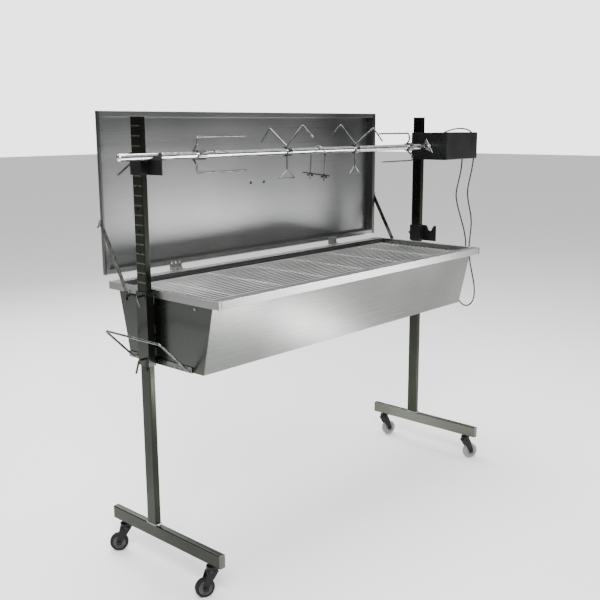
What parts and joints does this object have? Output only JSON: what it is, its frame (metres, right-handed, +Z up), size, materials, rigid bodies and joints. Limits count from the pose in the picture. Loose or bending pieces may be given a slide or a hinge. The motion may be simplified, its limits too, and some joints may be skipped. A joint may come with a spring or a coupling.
{
  "type": "rotisserie spit roaster",
  "caption": "Charcoal spit roaster: long sheet metal trough with grate and hinged lid between two wheeled T-stands, with a motor-driven spit carrying forks and braces.",
  "frame": {"origin": "on the floor, midway between the two stands, straight below the spit", "axes": "+X along the spit towards the motor, +Y towards the lid hinge at the back, +Z up"},
  "size_m": [2.0615, 0.691, 1.643],
  "materials": {
    "stand_steel": "satin brushed tube",
    "cap_plastic": "moulded",
    "castor_steel": "black coated pressing",
    "wheel_rubber": "solid tyre on a grey core",
    "wheel_nylon": "translucent nylon",
    "trough_steel": "brushed sheet",
    "plated_steel": "zinc plated",
    "grate_steel": "polished rod",
    "chrome": "bright chrome",
    "black_paint": "satin black powder coat",
    "lever_steel": "dark coated rod",
    "gear_case": "cast",
    "lead_pvc": "flexible lead sheath",
    "plug_plastic": "moulded"
  },
  "bodies": {
    "stand": {"post_left": "stand_steel", "post_right": "stand_steel", "rail_left": "stand_steel", "rail_right": "stand_steel", "tube_caps": "cap_plastic", "castor_stems": "castor_steel", "trough": "trough_steel", "trough_sleeve_left": "trough_steel", "trough_sleeve_right": "trough_steel", "lift_handle_left": "plated_steel", "lift_handle_right": "plated_steel", "trough_studs": "plated_steel", "hinge_leaves_trough": "plated_steel"},
    "lid": {"lid": "trough_steel", "lid_handle": "plated_steel", "hinge_leaves_lid": "plated_steel", "lid_studs": "plated_steel"},
    "stay_l": {"stay_left": "plated_steel"},
    "stay_r": {"stay_right": "plated_steel"},
    "stay_nut_l": {"stay_screw_left": "plated_steel"},
    "stay_nut_r": {"stay_screw_right": "plated_steel"},
    "grate": {"grate": "grate_steel"},
    "pin_ul": {"pin_upper_left": "plated_steel"},
    "pin_ur": {"pin_upper_right": "plated_steel"},
    "pin_ll": {"pin_lower_left": "plated_steel"},
    "pin_lr": {"pin_lower_right": "plated_steel"},
    "bracket": {"spit_bracket": "black_paint"},
    "bracket_screw": {"spit_bracket_screw": "lever_steel"},
    "spare": {"spare_bracket": "black_paint"},
    "spare_screw": {"spare_bracket_screw": "lever_steel"},
    "motor": {"motor_bracket": "black_paint", "motor_housing": "black_paint", "gear_motor": "gear_case", "motor_screws": "plated_steel", "cord": "lead_pvc", "cord_gland": "lead_pvc", "plug": "plug_plastic"},
    "motor_screw": {"motor_bracket_screw": "lever_steel"},
    "spit": {"spit": "chrome", "drive_socket": "chrome"},
    "fork_l": {"fork_left": "chrome"},
    "fork_r": {"fork_right": "chrome"},
    "fork_screw_l": {"fork_screw_left": "chrome"},
    "fork_screw_r": {"fork_screw_right": "chrome"},
    "brace_l": {"brace_left": "chrome"},
    "brace_r": {"brace_right": "chrome"},
    "brace_screw_l": {"brace_screw_left": "chrome"},
    "brace_screw_r": {"brace_screw_right": "chrome"},
    "ubolt": {"ubolt": "chrome", "ubolt_bar": "chrome", "ubolt_nuts": "chrome"},
    "castor_l_front": {"castor_fork_left_front": "castor_steel"},
    "wheel_l_front": {"castor_wheel_left_front": "wheel_rubber"},
    "castor_l_back": {"castor_fork_left_back": "castor_steel"},
    "wheel_l_back": {"castor_wheel_left_back": "wheel_rubber"},
    "castor_r_front": {"castor_fork_right_front": "castor_steel"},
    "wheel_r_front": {"castor_wheel_right_front": "wheel_nylon"},
    "castor_r_back": {"castor_fork_right_back": "castor_steel"},
    "wheel_r_back": {"castor_wheel_right_back": "wheel_nylon"}
  },
  "joints": [
    {"name": "lid_hinge", "type": "hinge", "parent": "stand", "child": "lid", "pos_m": [0, 0.31, 1.039], "axis": [1, 0, 0], "range_deg": [0, 16]},
    {"name": "stay_l_pivot", "type": "hinge", "parent": "lid", "child": "stay_l", "pos_m": [-0.812, 0.321, 1.245], "axis": [1, 0, 0], "range_deg": [-6, 0]},
    {"name": "stay_l_nut", "type": "hinge", "parent": "stay_l", "child": "stay_nut_l", "pos_m": [-0.817, 0.18, 0.999], "axis": [1, 0, 0], "continuous": true},
    {"name": "stay_r_pivot", "type": "hinge", "parent": "lid", "child": "stay_r", "pos_m": [0.812, 0.321, 1.245], "axis": [1, 0, 0], "range_deg": [-6, 0]},
    {"name": "stay_r_nut", "type": "hinge", "parent": "stay_r", "child": "stay_nut_r", "pos_m": [0.817, 0.18, 0.999], "axis": [1, 0, 0], "continuous": true},
    {"name": "grate_lift", "type": "slide", "parent": "stand", "child": "grate", "axis": [0, 0, 1], "range_m": [0, 0.08]},
    {"name": "pin_upper_l", "type": "slide", "parent": "stand", "child": "pin_ul", "axis": [-1, 0, 0], "range_m": [0, 0.045]},
    {"name": "pin_lower_l", "type": "slide", "parent": "stand", "child": "pin_ll", "axis": [-1, 0, 0], "range_m": [0, 0.045]},
    {"name": "pin_upper_r", "type": "slide", "parent": "stand", "child": "pin_ur", "axis": [1, 0, 0], "range_m": [0, 0.045]},
    {"name": "pin_lower_r", "type": "slide", "parent": "stand", "child": "pin_lr", "axis": [1, 0, 0], "range_m": [0, 0.045]},
    {"name": "castor_l_front_swivel", "type": "hinge", "parent": "stand", "child": "castor_l_front", "pos_m": [-0.825, -0.243, 0.1], "axis": [0, 0, 1], "continuous": true},
    {"name": "wheel_l_front_spin", "type": "hinge", "parent": "castor_l_front", "child": "wheel_l_front", "pos_m": [-0.84967, -0.23202, 0.035], "axis": [-0.4067, -0.9135, 0], "continuous": true},
    {"name": "castor_l_back_swivel", "type": "hinge", "parent": "stand", "child": "castor_l_back", "pos_m": [-0.825, 0.243, 0.1], "axis": [0, 0, 1], "continuous": true},
    {"name": "wheel_l_back_spin", "type": "hinge", "parent": "castor_l_back", "child": "wheel_l_back", "pos_m": [-0.84568, 0.26036, 0.035], "axis": [-0.6428, -0.766, 0], "continuous": true},
    {"name": "castor_r_front_swivel", "type": "hinge", "parent": "stand", "child": "castor_r_front", "pos_m": [0.825, -0.243, 0.1], "axis": [0, 0, 1], "continuous": true},
    {"name": "wheel_r_front_spin", "type": "hinge", "parent": "castor_r_front", "child": "wheel_r_front", "pos_m": [0.84838, -0.2565, 0.035], "axis": [0.5, 0.866, 0], "continuous": true},
    {"name": "castor_r_back_swivel", "type": "hinge", "parent": "stand", "child": "castor_r_back", "pos_m": [0.825, 0.243, 0.1], "axis": [0, 0, 1], "continuous": true},
    {"name": "wheel_r_back_spin", "type": "hinge", "parent": "castor_r_back", "child": "wheel_r_back", "pos_m": [0.84985, 0.23245, 0.035], "axis": [0.3907, 0.9205, 0], "continuous": true},
    {"name": "motor_height", "type": "slide", "parent": "stand", "child": "motor", "axis": [0, 0, 1], "range_m": [-0.2, 0.065]},
    {"name": "bracket_height", "type": "slide", "parent": "stand", "child": "bracket", "axis": [0, 0, 1], "range_m": [-0.2, 0.065]},
    {"name": "spare_height", "type": "slide", "parent": "stand", "child": "spare", "axis": [0, 0, 1], "range_m": [-0.002, 0.1]},
    {"name": "bracket_clamp", "type": "hinge", "parent": "bracket", "child": "bracket_screw", "pos_m": [-0.825, 0.11, 1.466], "axis": [0, 1, 0], "continuous": true},
    {"name": "spare_clamp", "type": "hinge", "parent": "spare", "child": "spare_screw", "pos_m": [0.825, 0.11, 1.077], "axis": [0, 1, 0], "range_deg": [-240, 60]},
    {"name": "motor_clamp", "type": "hinge", "parent": "motor", "child": "motor_screw", "pos_m": [0.825, 0.11, 1.49], "axis": [0, 1, 0], "continuous": true},
    {"name": "spit_spin", "type": "hinge", "parent": "motor", "child": "spit", "pos_m": [0, 0, 1.49], "axis": [1, 0, 0], "continuous": true},
    {"name": "fork_left_slide", "type": "slide", "parent": "spit", "child": "fork_l", "axis": [1, 0, 0], "range_m": [-0.15, 0.08]},
    {"name": "fork_right_slide", "type": "slide", "parent": "spit", "child": "fork_r", "axis": [1, 0, 0], "range_m": [-0.08, 0.1]},
    {"name": "brace_left_slide", "type": "slide", "parent": "spit", "child": "brace_l", "axis": [1, 0, 0], "range_m": [-0.08, 0.04]},
    {"name": "brace_right_slide", "type": "slide", "parent": "spit", "child": "brace_r", "axis": [1, 0, 0], "range_m": [-0.1, 0.02]},
    {"name": "ubolt_slide", "type": "slide", "parent": "spit", "child": "ubolt", "axis": [1, 0, 0], "range_m": [-0.05, 0.05]},
    {"name": "fork_left_screw", "type": "hinge", "parent": "fork_l", "child": "fork_screw_l", "pos_m": [-0.6115, 0, 1.49], "axis": [0, -0.9903, 0.1392], "continuous": true},
    {"name": "fork_right_screw", "type": "hinge", "parent": "fork_r", "child": "fork_screw_r", "pos_m": [0.6495, 0, 1.49], "axis": [0, -0.9986, 0.0523], "continuous": true},
    {"name": "brace_left_screw", "type": "hinge", "parent": "brace_l", "child": "brace_screw_l", "pos_m": [-0.165, 0, 1.49], "axis": [0, 0.0262, -0.9997], "continuous": true},
    {"name": "brace_right_screw", "type": "hinge", "parent": "brace_r", "child": "brace_screw_r", "pos_m": [0.257, 0, 1.49], "axis": [0, 0.0349, -0.9994], "continuous": true}
  ],
  "couplings": [
    {"joint": "stay_l_pivot", "follows": "lid_hinge", "ratio": -0.34},
    {"joint": "stay_r_pivot", "follows": "lid_hinge", "ratio": -0.34},
    {"joint": "bracket_height", "follows": "motor_height", "ratio": 1}
  ]
}
